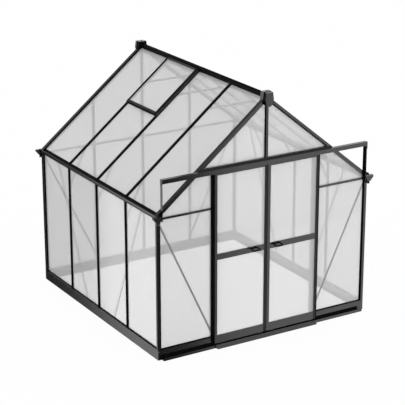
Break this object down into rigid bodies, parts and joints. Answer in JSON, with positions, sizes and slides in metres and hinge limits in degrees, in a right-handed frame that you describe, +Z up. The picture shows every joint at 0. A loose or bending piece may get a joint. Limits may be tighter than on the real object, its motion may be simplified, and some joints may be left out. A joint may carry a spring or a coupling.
{
  "type": "polycarbonate greenhouse",
  "caption": "Walk-in gable greenhouse: dark aluminium frame on a base channel, twin-wall glazing, gutters, a roof vent and a pair of sliding doors on the front.",
  "frame": {"origin": "on the ground, under the middle of the greenhouse", "axes": "+Z up; the door wall faces -Y; +X is to the right of someone facing the doors"},
  "size_m": [2.56, 2.628, 2.5294],
  "materials": {
    "dark_frame": "satin powder coat, near black",
    "twin_wall": "translucent twin-wall polycarbonate",
    "black_plastic": "matte black moulding"
  },
  "bodies": {
    "greenhouse": {"base_front": "dark_frame", "base_back": "dark_frame", "base_sides": "dark_frame", "corner_posts": "dark_frame", "side_wall_posts": "dark_frame", "back_wall_posts": "dark_frame", "door_jambs": "dark_frame", "door_header": "dark_frame", "gable_post": "dark_frame", "front_eave_bars": "dark_frame", "back_eave_bars": "dark_frame", "eave_beams": "dark_frame", "gutters": "dark_frame", "gutter_outlets": "black_plastic", "gable_rafters": "dark_frame", "left_roof_bars": "dark_frame", "right_roof_bars": "dark_frame", "ridge_beam": "dark_frame", "ridge_end_caps": "black_plastic", "collar_ties": "dark_frame", "knee_braces": "dark_frame", "gable_braces": "dark_frame", "side_wall_braces": "dark_frame", "upper_door_rail": "dark_frame", "rail_supports": "dark_frame", "lower_door_rail": "dark_frame", "door_threshold": "dark_frame", "vent_side_bars": "dark_frame", "vent_cross_bars": "dark_frame", "vent_trimmer": "dark_frame", "vent_panel": "twin_wall", "left_wall_panels": "twin_wall", "right_wall_panels": "twin_wall", "front_wall_panels": "twin_wall", "back_wall_panels": "twin_wall", "left_roof_panels": "twin_wall", "right_roof_panels": "twin_wall"},
    "left_door": {"left_door_stiles": "dark_frame", "left_door_rails": "dark_frame", "left_door_panels": "twin_wall", "left_door_handle": "black_plastic", "left_door_runners": "black_plastic", "left_door_strip": "black_plastic"},
    "right_door": {"right_door_stiles": "dark_frame", "right_door_rails": "dark_frame", "right_door_panels": "twin_wall", "right_door_handle": "black_plastic", "right_door_runners": "black_plastic"}
  },
  "joints": [
    {"name": "left_door_slide", "type": "slide", "parent": "greenhouse", "child": "left_door", "axis": [-1, 0, 0], "range_m": [0, 0.563]},
    {"name": "right_door_slide", "type": "slide", "parent": "greenhouse", "child": "right_door", "axis": [1, 0, 0], "range_m": [0, 0.563]}
  ]
}
